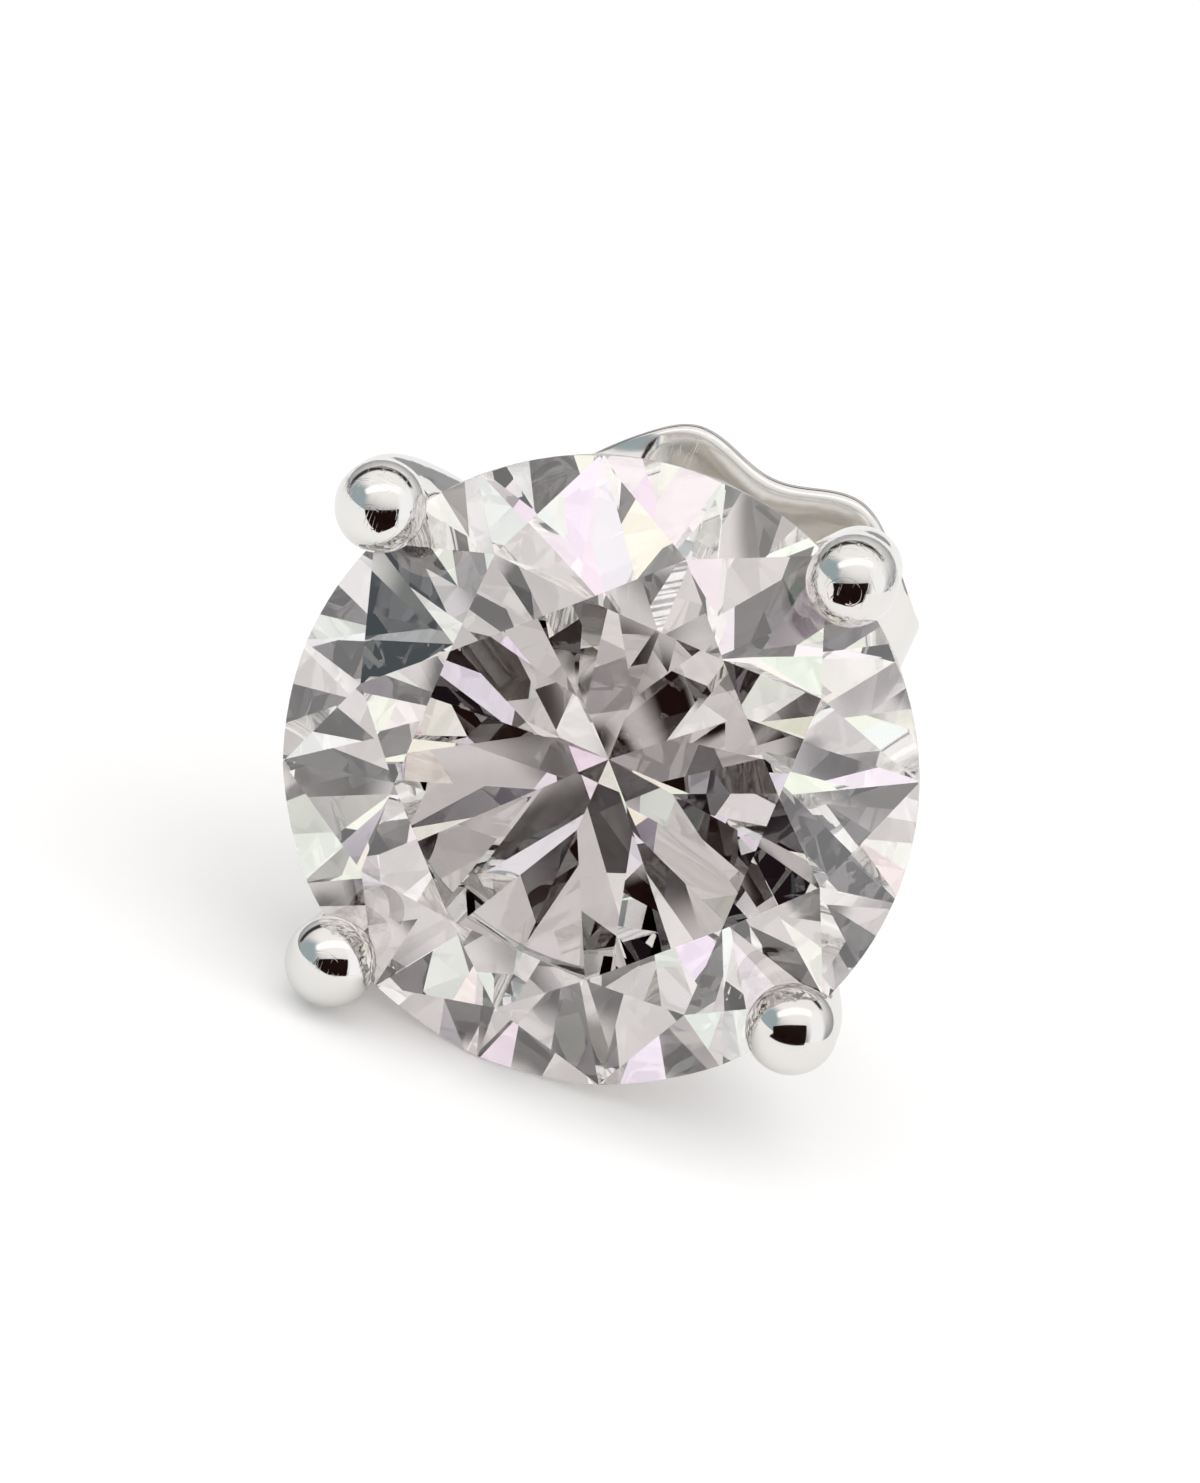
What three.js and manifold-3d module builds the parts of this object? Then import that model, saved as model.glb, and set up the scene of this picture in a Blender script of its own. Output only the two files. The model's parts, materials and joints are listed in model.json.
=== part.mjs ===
// Stud earring: a round brilliant in a four-prong basket on a straight post, held by a butterfly back.
//
// Lengths are millimetres and angles are degrees. The stud is built on its own axis, with the stone's
// face towards +Z, the girdle's middle at z = 0 and the post running back along -Z. The whole stud is
// then laid on its side, as it rests on a table, and moved so that the origin is below its middle.

import * as THREE from "three";
import { mergeVertices } from "three/addons/utils/BufferGeometryUtils.js";
import Module from "manifold-3d";

const wasm = await Module();
wasm.setup();

// ---- driving dimensions -------------------------------------------------------------------------

const FIT_GAP = 0.03; // clearance that every seated piece keeps to its neighbour

const STONE = {
  diameter: 6.5,
  table: 0.6, // width of the table, as a share of the diameter
  crownAngle: 34.5,
  pavilionAngle: 40.8,
  girdle: 0.13, // thickness where two girdle facets meet
  starShare: 0.5, // how far a star facet reaches from the table's edge to the girdle
  lowerShare: 0.77, // how far a lower girdle facet reaches from the girdle to the culet
  turn: 6.8, // turn of the stone against the square of the prongs
  arcSteps: 4, // straight steps along the girdle in each girdle facet
};

const PRONG = {
  footRadius: 1.45, // distance of its foot from the axis
  footZ: -3.5,
  girdleRadius: 3.42, // distance of its middle from the axis, level with the girdle
  bendRadius: 3.62, // the corner that its curve bends round, below the girdle
  bendZ: -0.5,
  runShare: 0.62, // how much of the way to that corner it runs nearly straight
  tipZ: 0.5, // height of the bead's middle above the girdle
  tipLean: 0.05, // how far the tip leans in over the stone
  footThickness: 0.78,
  shaftThickness: 0.84,
  bead: 0.93,
  swellFrom: 0.75, // share of its length at which it starts to swell into the bead
  sides: 14,
  shaftSteps: 9,
  domeSteps: 4,
};

// One row for each prong. angle is counted in the face's plane, and reach is how much further out than
// the others its bead stands, because the tips are bent over the stone by hand.
const PRONGS = [
  { angle: 46, reach: 0.0 },
  { angle: 135, reach: 0.12 },
  { angle: 223, reach: -0.04 },
  { angle: 316, reach: -0.16 },
];

const BASKET = {
  railRadius: 2.42,
  railZ: -1.78,
  railThickness: 0.62,
  railSides: 10,
  railSteps: 48,
  baseRadius: 1.9,
  baseFrontZ: -3.4,
  baseThickness: 0.62,
  baseRound: 0.16,
};

const POST = {
  diameter: 0.9,
  tipZ: -13.6,
  tipRound: 0.25,
  fillet: 0.27, // of the solder on the base
};

const BACK = {
  frontZ: -7.9, // where its front face stands on the post
  turn: -17, // turn of its long side against the square of the prongs
  metal: 0.24, // thickness of the strip
  scroll: 0.7, // radius of the scroll's middle line
  curl: 270, // how far round the scroll is curled
  curlSteps: 20,
  flatSteps: 12,
  waistWidth: 3.5, // height of the strip beside the post
  lobeWidth: 3.9, // height of the strip across its lobes
  lobeAt: 0.9, // how far along the strip each lobe is highest
  tongueWidth: 1.7, // height of the tongue that each lobe narrows to
  tongueAt: 2.5, // how far along the strip the tongue begins
  tipLength: 0.5, // length of the tongue's rounded tip
  tipRounding: 0.85, // how nearly the tip comes to a point
  collarRadius: 0.82,
  collarWall: 0.13,
  collarLength: 0.46,
  countersink: 0.2, // width and depth of the funnel in front of the post hole
};

const TURNED_SIDES = 36; // of everything round about the axis
const ARC_STEPS = 3; // in each rounded edge
const CUT_MARGIN = 0.2; // how far a cutting shape stands clear of what it cuts
const TILT_LIMIT = 20; // no rest angle of the stud is larger
const HALVINGS = 40; // enough to find a rest angle exactly

// ---- helpers ------------------------------------------------------------------------------------

const radians = THREE.MathUtils.degToRad;
const polar = (radius, angle, z) =>
  new THREE.Vector3(radius * Math.cos(radians(angle)), radius * Math.sin(radians(angle)), z);

// A geometry's closed surface as a solid that can be cut and joined.
function solidOf(geometry) {
  const bare = geometry.index ? geometry.toNonIndexed() : geometry.clone();
  bare.deleteAttribute("normal");
  bare.deleteAttribute("uv");
  const merged = mergeVertices(bare, 1e-4);
  return new wasm.Manifold(
    new wasm.Mesh({
      numProp: 3,
      vertProperties: new Float32Array(merged.attributes.position.array),
      triVerts: new Uint32Array(merged.index.array),
    }),
  );
}

function geometryOf(solid) {
  const mesh = solid.getMesh();
  const geometry = new THREE.BufferGeometry()
    .setAttribute("position", new THREE.BufferAttribute(mesh.vertProperties, 3))
    .setIndex(new THREE.BufferAttribute(mesh.triVerts, 1));
  geometry.computeVertexNormals();
  return geometry;
}

// A solid turned about the stud's axis: profile holds [radius, z] pairs, from the front to the rear.
function turned(profile) {
  const points = profile.map(([radius, z]) => new THREE.Vector2(radius, z)).reverse();
  return new THREE.LatheGeometry(points, TURNED_SIDES).rotateX(Math.PI / 2);
}

// An arc in a profile, between two angles about its own centre, as [radius, z] pairs.
function arc([centreRadius, centreZ], size, from, to) {
  return Array.from({ length: ARC_STEPS + 1 }, (_, k) => {
    const angle = radians(THREE.MathUtils.lerp(from, to, k / ARC_STEPS));
    return [centreRadius + size * Math.cos(angle), centreZ + size * Math.sin(angle)];
  });
}

// Loops of points joined into one closed surface, whose ends fan in to a point each.
function lofted(loops, firstPoint, lastPoint) {
  const count = loops[0].length;
  const last = loops[loops.length - 1];
  const points = [];
  for (let k = 0; k < count; k += 1) {
    const next = (k + 1) % count;
    points.push(firstPoint, loops[0][next], loops[0][k]);
    for (let row = 0; row + 1 < loops.length; row += 1) {
      const [low, high] = [loops[row], loops[row + 1]];
      points.push(low[k], low[next], high[next], low[k], high[next], high[k]);
    }
    points.push(last[k], last[next], lastPoint);
  }
  return new THREE.BufferGeometry().setFromPoints(points);
}

// ---- stone --------------------------------------------------------------------------------------

// The height at a point of the plane through three points.
function planeHeight([a, b, c], x, y) {
  const plane = new THREE.Plane().setFromCoplanarPoints(a, b, c);
  return -(plane.normal.x * x + plane.normal.y * y + plane.constant) / plane.normal.z;
}

// The wavy edge between the girdle and the 16 girdle facets of the crown. Each facet is a plane through
// two high points of the girdle and the tip of a star facet, and it cuts the round girdle in a curve.
function girdleEdge(tipRadius, tipZ, edgeZ) {
  const radius = STONE.diameter / 2;
  const edge = [];
  for (let facet = 0; facet < 16; facet += 1) {
    const from = polar(radius, 22.5 * facet, edgeZ);
    const to = polar(radius, 22.5 * (facet + 1), edgeZ);
    const tip = polar(tipRadius, facet % 2 ? 22.5 * facet : 22.5 * (facet + 1), tipZ);
    for (let step = 0; step < STONE.arcSteps; step += 1) {
      const place = polar(radius, 22.5 * (facet + step / STONE.arcSteps), 0);
      place.z = planeHeight([from, to, tip], place.x, place.y);
      edge.push(place);
    }
  }
  return edge;
}

function stoneGeometry() {
  const radius = STONE.diameter / 2;
  const edgeZ = STONE.girdle / 2;
  const crownSlope = Math.tan(radians(STONE.crownAngle));
  const pavilionSlope = Math.tan(radians(STONE.pavilionAngle));
  const half = Math.cos(radians(22.5));

  const tableRadius = radius * STONE.table;
  const tableZ = edgeZ + (radius - tableRadius) * crownSlope;
  const tableEdge = tableRadius * half;
  const starRadius = tableEdge + STONE.starShare * (radius - tableEdge);
  const starZ = edgeZ + (radius - starRadius * half) * crownSlope;
  const culetZ = -edgeZ - radius * pavilionSlope;
  const lowerRadius = radius * (1 - STONE.lowerShare);
  const lowerZ = culetZ + lowerRadius * half * pavilionSlope;

  const ring = (count, angle, r, z) =>
    Array.from({ length: count }, (_, k) => polar(r, angle + (360 / count) * k, z));
  const table = ring(8, 0, tableRadius, tableZ);
  const stars = ring(8, 22.5, starRadius, starZ);
  const top = girdleEdge(starRadius, starZ, edgeZ);
  const bottom = girdleEdge(lowerRadius, -lowerZ, edgeZ).map((p) => p.clone().setZ(-p.z));
  const lower = ring(8, 22.5, lowerRadius, lowerZ);
  const culet = new THREE.Vector3(0, 0, culetZ);

  const triangles = [];
  const facet = (...corners) => {
    for (let k = 1; k + 1 < corners.length; k += 1) {
      triangles.push(corners[0], corners[k], corners[k + 1]);
    }
  };
  const steps = STONE.arcSteps;
  const girdleCount = 16 * steps;
  facet(...table);
  for (let k = 0; k < 8; k += 1) {
    const next = (k + 1) % 8;
    const before = (k + 7) % 8;
    const seam = 2 * k * steps;
    const stretch = (edge, from) =>
      Array.from({ length: steps + 1 }, (_, s) => edge[(from + s) % girdleCount]);
    facet(table[k], stars[k], table[next]);
    facet(table[k], stars[before], top[seam], stars[k]);
    facet(stars[k], ...stretch(top, seam));
    facet(stars[k], ...stretch(top, seam + steps));
    facet(culet, lower[k], bottom[seam], lower[before]);
    facet(lower[k], ...stretch(bottom, seam).reverse());
    facet(lower[k], ...stretch(bottom, seam + steps).reverse());
  }
  for (let k = 0; k < girdleCount; k += 1) {
    const next = (k + 1) % girdleCount;
    facet(top[k], bottom[k], bottom[next], top[next]);
  }
  return new THREE.BufferGeometry().setFromPoints(triangles).rotateZ(radians(STONE.turn));
}

// ---- setting ------------------------------------------------------------------------------------

// A prong in the plane of the axis: a tapered bar that leans out to the girdle and ends in a bead.
function prongGeometry({ angle, reach }) {
  const beadRadius = PRONG.bead / 2;
  const foot = polar(PRONG.footRadius, 0, PRONG.footZ);
  const bend = polar(PRONG.bendRadius + reach, 0, PRONG.bendZ);
  const tip = polar(PRONG.girdleRadius + reach - PRONG.tipLean, 0, PRONG.tipZ);
  const path = new THREE.CubicBezierCurve3(foot, foot.clone().lerp(bend, PRONG.runShare), bend, tip);
  const rings = [];
  for (let k = 0; k <= PRONG.shaftSteps; k += 1) {
    const share = k / PRONG.shaftSteps;
    const shaft = THREE.MathUtils.lerp(PRONG.footThickness, PRONG.shaftThickness, share) / 2;
    const swell = THREE.MathUtils.smoothstep(share, PRONG.swellFrom, 1);
    rings.push({
      centre: path.getPointAt(share),
      tangent: path.getTangentAt(share),
      radius: THREE.MathUtils.lerp(shaft, beadRadius, swell),
    });
  }
  const { centre, tangent } = rings[rings.length - 1];
  for (let k = 1; k < PRONG.domeSteps; k += 1) {
    const lift = (Math.PI / 2) * (k / PRONG.domeSteps);
    rings.push({
      centre: centre.clone().addScaledVector(tangent, beadRadius * Math.sin(lift)),
      tangent,
      radius: beadRadius * Math.cos(lift),
    });
  }
  const across = new THREE.Vector3(0, 1, 0);
  const loops = rings.map((ring) => {
    const outward = new THREE.Vector3().crossVectors(across, ring.tangent).normalize();
    return Array.from({ length: PRONG.sides }, (_, k) => {
      const turn = (2 * Math.PI * k) / PRONG.sides;
      return ring.centre
        .clone()
        .addScaledVector(outward, ring.radius * Math.cos(turn))
        .addScaledVector(across, ring.radius * Math.sin(turn));
    });
  });
  const top = centre.clone().addScaledVector(tangent, beadRadius);
  return lofted(loops, foot, top).rotateZ(radians(angle));
}

function railGeometry() {
  const { railRadius, railThickness, railSides, railSteps, railZ } = BASKET;
  return new THREE.TorusGeometry(railRadius, railThickness / 2, railSides, railSteps).translate(0, 0, railZ);
}

// The round base plate and the post, turned as one bar with a solder fillet between them.
function baseAndPostGeometry() {
  const { baseRadius, baseFrontZ, baseThickness, baseRound } = BASKET;
  const { fillet, tipRound, tipZ } = POST;
  const rear = baseFrontZ - baseThickness;
  const post = POST.diameter / 2;
  return turned([
    [0, baseFrontZ],
    ...arc([baseRadius - baseRound, baseFrontZ - baseRound], baseRound, 90, 0),
    ...arc([baseRadius - baseRound, rear + baseRound], baseRound, 0, -90),
    ...arc([post + fillet, rear - fillet], fillet, 90, 180),
    ...arc([post - tipRound, tipZ + tipRound], tipRound, 0, -90),
    [0, tipZ],
  ]);
}

function settingGeometry(stone) {
  const grown = 1 + (2 * FIT_GAP) / STONE.diameter;
  const seat = solidOf(stone.clone().scale(grown, grown, grown));
  let metal = solidOf(baseAndPostGeometry()).add(solidOf(railGeometry()));
  for (const prong of PRONGS) {
    metal = metal.add(solidOf(prongGeometry(prong)));
  }
  return geometryOf(metal.subtract(seat));
}

// ---- butterfly back -----------------------------------------------------------------------------

const scrollCentreX = POST.diameter / 2 + FIT_GAP + BACK.metal / 2 + BACK.scroll;
const stripLength = scrollCentreX + BACK.scroll * radians(BACK.curl); // from the post to either tip
const backDepth = 2 * BACK.scroll + BACK.metal;

// A smooth step from one value to another as the share runs from 0 to 1.
const eased = (from, to, share) =>
  THREE.MathUtils.lerp(from, to, (1 - Math.cos(Math.PI * THREE.MathUtils.clamp(share, 0, 1))) / 2);

// Half the strip's height at a distance along it: a waist, a lobe, and a tongue with a rounded tip.
function halfHeight(along) {
  const [waist, lobe, tongue] = [BACK.waistWidth / 2, BACK.lobeWidth / 2, BACK.tongueWidth / 2];
  if (along < BACK.lobeAt) {
    return eased(waist, lobe, along / BACK.lobeAt);
  }
  const narrowed = eased(lobe, tongue, (along - BACK.lobeAt) / (BACK.tongueAt - BACK.lobeAt));
  const tip = Math.max(0, 1 - (stripLength - along) / BACK.tipLength);
  return narrowed * Math.sqrt(1 - BACK.tipRounding * tip ** 2);
}

// The strip's section at a distance along it. The strip runs straight across the front and curls back
// round each scroll's middle, so that its tips come to rest beside the post.
function stripSection(along) {
  const side = Math.sign(along);
  const distance = Math.abs(along);
  const turn = Math.max(0, distance - scrollCentreX) / BACK.scroll;
  const outward = new THREE.Vector3(side * Math.sin(turn), 0, Math.cos(turn));
  const pivot = new THREE.Vector3(side * Math.min(distance, scrollCentreX), 0, -backDepth / 2);
  const corner = (up, out) =>
    pivot
      .clone()
      .addScaledVector(outward, BACK.scroll + (out * BACK.metal) / 2)
      .setY(up * halfHeight(distance));
  return {
    middle: pivot.clone().addScaledVector(outward, BACK.scroll),
    corners: [corner(1, 1), corner(-1, 1), corner(-1, -1), corner(1, -1)],
  };
}

function stripGeometry() {
  const stops = [
    [-stripLength, -scrollCentreX, BACK.curlSteps],
    [-scrollCentreX, scrollCentreX, BACK.flatSteps],
    [scrollCentreX, stripLength, BACK.curlSteps],
  ];
  const places = stops.flatMap(([from, to, steps]) =>
    Array.from({ length: steps }, (_, k) => THREE.MathUtils.lerp(from, to, k / steps)),
  );
  const sections = [...places, stripLength].map(stripSection);
  return lofted(
    sections.map((section) => section.corners),
    sections[0].middle,
    sections[sections.length - 1].middle,
  );
}

// The rim that the punched post hole raises on the plate's rear.
function collarGeometry(holeRadius) {
  return turned([
    [0, -BACK.metal / 2],
    [BACK.collarRadius, -BACK.metal / 2],
    [BACK.collarRadius, -BACK.metal],
    [holeRadius + BACK.collarWall, -BACK.collarLength],
    [0, -BACK.collarLength],
  ]);
}

// The post hole, with its funnel in front.
function boreGeometry(holeRadius) {
  return turned([
    [0, CUT_MARGIN],
    [holeRadius + BACK.countersink, CUT_MARGIN],
    [holeRadius + BACK.countersink, 0],
    [holeRadius, -BACK.countersink],
    [holeRadius, -backDepth - CUT_MARGIN],
    [0, -backDepth - CUT_MARGIN],
  ]);
}

function backGeometry() {
  const holeRadius = POST.diameter / 2 + FIT_GAP;
  const shell = solidOf(stripGeometry()).add(solidOf(collarGeometry(holeRadius)));
  return geometryOf(shell.subtract(solidOf(boreGeometry(holeRadius))))
    .translate(0, 0, BACK.frontZ)
    .rotateZ(radians(BACK.turn));
}

// ---- materials and assembly ---------------------------------------------------------------------

const diamond = new THREE.MeshStandardMaterial({ color: 0xeef0f2, roughness: 0.0, metalness: 0.0 });
const whiteGold = new THREE.MeshStandardMaterial({ color: 0xdad6cf, roughness: 0.12, metalness: 1 });

function part(name, geometry, material) {
  const mesh = new THREE.Mesh(geometry, material);
  mesh.name = name;
  return mesh;
}

const stoneShape = stoneGeometry();
const stone = part("stone", stoneShape, diamond);
const setting = part("setting", settingGeometry(stoneShape), whiteGold);
const back = part("butterfly_back", backGeometry(), whiteGold);

const stud = new THREE.Group();
stud.add(stone, setting, back);

// Lays the stud on its side: roll turns it about its own axis, and droop lowers the post's end.
function lay(roll, droop) {
  const upright = new THREE.Matrix4().makeRotationX(Math.PI / 2 - radians(droop));
  const turn = new THREE.Matrix4().makeRotationZ(radians(roll));
  stud.quaternion.setFromRotationMatrix(upright.multiply(turn));
  stud.updateMatrixWorld(true);
}

const lowest = (mesh) => new THREE.Box3().setFromObject(mesh, true).min.z;

// The angle up to TILT_LIMIT at which a rising function passes zero, found by halving.
function rootOf(rising) {
  let [from, to] = [0, TILT_LIMIT];
  for (let k = 0; k < HALVINGS; k += 1) {
    const middle = (from + to) / 2;
    if (rising(middle) > 0) {
      to = middle;
    } else {
      from = middle;
    }
  }
  return (from + to) / 2;
}

// At rest the girdle and the back both touch the table, so their lowest points are level.
function droopAt(roll) {
  return rootOf((droop) => {
    lay(roll, droop);
    return lowest(stone) - lowest(back);
  });
}

// The stud has also rolled until its lower left prong touches the table beside the girdle.
const restRoll = rootOf((roll) => {
  lay(roll, droopAt(roll));
  return lowest(stone) - lowest(setting);
});
const restDroop = droopAt(restRoll);
lay(restRoll, restDroop);

const whole = new THREE.Group();
whole.add(stud);
const bounds = new THREE.Box3().setFromObject(whole, true);
const middle = bounds.getCenter(new THREE.Vector3());
stud.position.set(-middle.x, -middle.y, -bounds.min.z);

export default whole;
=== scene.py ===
"""Looks for a stud earring: a round brilliant in a four-prong basket, with a butterfly back on its post.

Sizes of the pieces are millimetres in the stud's own axes, with the stone's face towards +Z, the girdle's
middle at z = 0 and the post running back along -Z. StudAxes carries them into the frame, in metres.
"""

import json
import logging
import math
from dataclasses import dataclass
from enum import Enum
from typing import Any, ClassVar, Sequence

import bpy
import numpy as np
from mathutils import Matrix, Vector

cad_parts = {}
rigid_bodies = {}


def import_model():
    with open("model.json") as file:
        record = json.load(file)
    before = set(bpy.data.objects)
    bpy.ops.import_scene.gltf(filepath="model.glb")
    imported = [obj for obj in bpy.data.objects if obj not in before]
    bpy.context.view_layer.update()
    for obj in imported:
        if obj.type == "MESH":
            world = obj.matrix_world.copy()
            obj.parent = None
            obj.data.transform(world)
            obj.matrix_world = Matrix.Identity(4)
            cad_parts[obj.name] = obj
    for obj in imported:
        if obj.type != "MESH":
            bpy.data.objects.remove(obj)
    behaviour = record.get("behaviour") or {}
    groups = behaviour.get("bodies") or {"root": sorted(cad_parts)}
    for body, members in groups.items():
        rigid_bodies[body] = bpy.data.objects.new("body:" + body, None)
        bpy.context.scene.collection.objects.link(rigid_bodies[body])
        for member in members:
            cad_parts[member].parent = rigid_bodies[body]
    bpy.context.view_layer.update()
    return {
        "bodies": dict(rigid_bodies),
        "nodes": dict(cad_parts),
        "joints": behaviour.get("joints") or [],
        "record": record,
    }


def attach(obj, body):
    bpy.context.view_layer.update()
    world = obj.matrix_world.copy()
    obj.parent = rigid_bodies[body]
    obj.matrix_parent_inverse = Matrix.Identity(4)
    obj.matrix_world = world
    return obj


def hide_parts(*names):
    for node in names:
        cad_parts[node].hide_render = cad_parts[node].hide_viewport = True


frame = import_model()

log = logging.getLogger("stud")

MM = 0.001
FIT_GAP = 0.03  # clearance that every seated piece keeps to its neighbour, in mm

Colour = tuple[float, float, float]
Socket = bpy.types.NodeSocket
Shell = tuple[np.ndarray, list[list[int]]]


class Body(Enum):
    """The bodies that pieces ride on."""

    STUD = "stud"
    BACK = "back"


class Slot(Enum):
    """The record's material slots."""

    DIAMOND = "diamond"
    WHITE_GOLD = "white_gold"


# ---- axes ---------------------------------------------------------------------------------------


def mesh_points(mesh: bpy.types.Mesh) -> np.ndarray:
    """A mesh's points.

    Args:
        mesh: the mesh.

    Returns:
        An array of points, one to a row.
    """
    points = np.empty(3 * len(mesh.vertices), np.float32)
    mesh.vertices.foreach_get("co", points)
    return points.reshape(-1, 3).astype(float)


@dataclass(frozen=True)
class StudAxes:
    """The stud's own axes, as they lie in the frame."""

    origin: Vector
    across: Vector
    up: Vector
    face: Vector

    EAR_FACE_RADIUS: ClassVar[float] = 1.25
    EAR_FACE_Z: ClassVar[float] = -4.02

    @classmethod
    def from_frame(cls, packed: dict[str, Any]) -> "StudAxes":
        """Finds the axes from the joint and from the mount on the basket's rear face.

        The joint slides straight back from the stone, and the stone's rearmost corner, the culet, lies on
        the axis. The mount's point stands out from the axis along the stud's own X, at a known radius and
        a known depth.


        Returns:
            The stud's axes, in metres.
        """
        back = Vector(packed["joints"][0]["axis"]).normalized()
        mount = next(m for m in packed["record"]["mounts"] if m["name"] == "ear_face")
        point = Vector(mount["pos_m"])
        corners = mesh_points(packed["nodes"]["stone"].data)
        culet = Vector(corners[np.argmax(corners @ np.array(back))])
        outwards = point - culet
        across = (outwards - outwards.project(back)).normalized()
        origin = point - across * cls.EAR_FACE_RADIUS * MM + back * cls.EAR_FACE_Z * MM
        return cls(origin=origin, across=across, up=(-back).cross(across), face=-back)

    def place(self, points: np.ndarray) -> np.ndarray:
        """Carries points in the stud's millimetres into the frame's metres.

        Args:
            points: an array of points, one to a row.

        Returns:
            The same points in the frame.
        """
        axes = np.array([self.across, self.up, self.face])
        return np.asarray(points) @ axes * MM + np.array(self.origin)


# ---- surfaces -----------------------------------------------------------------------------------


def grid_faces(rows: int, columns: int) -> np.ndarray:
    """Quads between the rows of a grid whose columns close on themselves.

    Args:
        rows: how many rings of points there are.
        columns: how many points a ring has.

    Returns:
        An array of quads, four point numbers to a row.
    """
    here = np.arange(columns)
    after = (here + 1) % columns
    row = np.arange(rows - 1)[:, None] * columns
    return np.stack([row + here, row + after, row + columns + after, row + columns + here], -1).reshape(-1, 4)


def closed_skin(rings: np.ndarray, first: np.ndarray, last: np.ndarray) -> Shell:
    """Rings of points skinned into one closed surface, with a fan onto a point at each end.

    Args:
        rings: an array of rings, points and coordinates.
        first: the point that closes the first ring.
        last: the point that closes the last ring.

    Returns:
        The points, and the faces with their outsides outwards.
    """
    rows, columns = rings.shape[:2]
    here = np.arange(columns)
    after = (here + 1) % columns
    ends = rows * columns
    low = np.stack([np.full(columns, ends), after, here], -1)
    high = np.stack([np.full(columns, ends + 1), ends - columns + here, ends - columns + after], -1)
    points = np.vstack([rings.reshape(-1, 3), first, last])
    faces = [*grid_faces(rows, columns).tolist(), *low.tolist(), *high.tolist()]
    return outward(points, faces)


def outward(points: np.ndarray, faces: list[list[int]]) -> Shell:
    """Turns a closed surface's faces round if their insides face out, which a negative volume shows.

    The volume is the sum, over each face's edges, of the box that the face's first corner and the edge's
    two ends span from the origin.

    Args:
        points: the surface's points.
        faces: its faces, all turned the same way.

    Returns:
        The points and the faces, with their outsides outwards.
    """
    corners = np.concatenate(faces)
    sizes = np.array([len(face) for face in faces])
    starts = np.cumsum(sizes) - sizes
    after = np.arange(len(corners)) + 1
    after[starts + sizes - 1] = starts
    a, b, c = (points[corners[k]] for k in (np.repeat(starts, sizes), slice(None), after))
    volume = np.einsum("ij,ij->", a, np.cross(b, c))
    return points, faces if volume > 0 else [face[::-1] for face in faces]


def round_turns(steps: int) -> np.ndarray:
    """Evenly spaced angles once round, in radians."""
    return 2 * np.pi * np.arange(steps) / steps


def turned(profile: np.ndarray, columns: int) -> Shell:
    """A solid turned about the stud's axis: each profile point's radius is carried once round the axis.

    Args:
        profile: radius and z of the profile's points, without the two that lie on the axis.
        columns: how many points go round.

    Returns:
        The closed surface.
    """
    turn = round_turns(columns)
    radius, z = profile[:, :1], profile[:, 1:]
    rings = np.stack([radius * np.cos(turn), radius * np.sin(turn), z + 0 * turn], -1)
    return closed_skin(rings, np.array([[0, 0, profile[0, 1]]]), np.array([[0, 0, profile[-1, 1]]]))


def arc(centre: tuple[float, float], radius: float, start: float, end: float, steps: int) -> np.ndarray:
    """Points along a circular arc, at even steps of angle.

    Args:
        centre: the arc's middle.
        radius: its radius.
        start: the angle it starts at, in degrees.
        end: the angle it ends at, in degrees.
        steps: how many straight steps stand for it.

    Returns:
        An array of points, two coordinates to a row.
    """
    angle = np.radians(np.linspace(start, end, steps + 1))
    return np.stack([centre[0] + radius * np.cos(angle), centre[1] + radius * np.sin(angle)], -1)


def turned_about_axis(points: np.ndarray, degrees: float) -> np.ndarray:
    """Points turned about the stud's axis.

    Args:
        points: the points, one to a row or in a grid.
        degrees: the turn, counted from X towards Y.

    Returns:
        The turned points.
    """
    c, s = math.cos(math.radians(degrees)), math.sin(math.radians(degrees))
    return points @ np.array([[c, s, 0], [-s, c, 0], [0, 0, 1]])


def mesh_object(name: str, shell: Shell) -> bpy.types.Object:
    """A new object that holds a surface.

    Args:
        name: the object's name.
        shell: the surface's points and faces.

    Returns:
        The object, in the scene.
    """
    mesh = bpy.data.meshes.new(name)
    mesh.from_pydata(np.asarray(shell[0], float), [], shell[1])
    mesh.update()
    piece = bpy.data.objects.new(name, mesh)
    bpy.context.scene.collection.objects.link(piece)
    return piece


def fused(name: str, shells: Sequence[Shell], cutters: Sequence[Shell] = ()) -> bpy.types.Object:
    """One solid: closed surfaces joined, then cut.

    Args:
        name: the object's name.
        shells: the closed surfaces that are joined.
        cutters: the closed surfaces that are cut away.

    Returns:
        The object, with no modifiers left on it.
    """
    piece = mesh_object(name, shells[0])
    tools = []
    for operation, group in (("UNION", shells[1:]), ("DIFFERENCE", cutters)):
        for shell in group:
            tool = mesh_object(f"{name}_tool", shell)
            tools.append(tool)
            step = piece.modifiers.new(operation.lower(), "BOOLEAN")
            step.solver = "MANIFOLD"
            step.operation = operation
            step.object = tool
    shaped = bpy.data.meshes.new_from_object(piece.evaluated_get(bpy.context.evaluated_depsgraph_get()))
    piece.modifiers.clear()
    piece.data = shaped
    for tool in tools:
        bpy.data.objects.remove(tool)
    return piece


def smooth_shaded(piece: bpy.types.Object, crease: float) -> None:
    """Shades a piece smooth, apart from edges sharper than an angle.

    Args:
        piece: the piece.
        crease: the angle between faces, in degrees, from which an edge stays sharp.
    """
    mesh = piece.data
    mesh.polygons.foreach_set("use_smooth", np.ones(len(mesh.polygons), bool))
    mesh.set_sharp_from_angle(angle=math.radians(crease))
    mesh.update()


# ---- shader nodes -------------------------------------------------------------------------------


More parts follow.
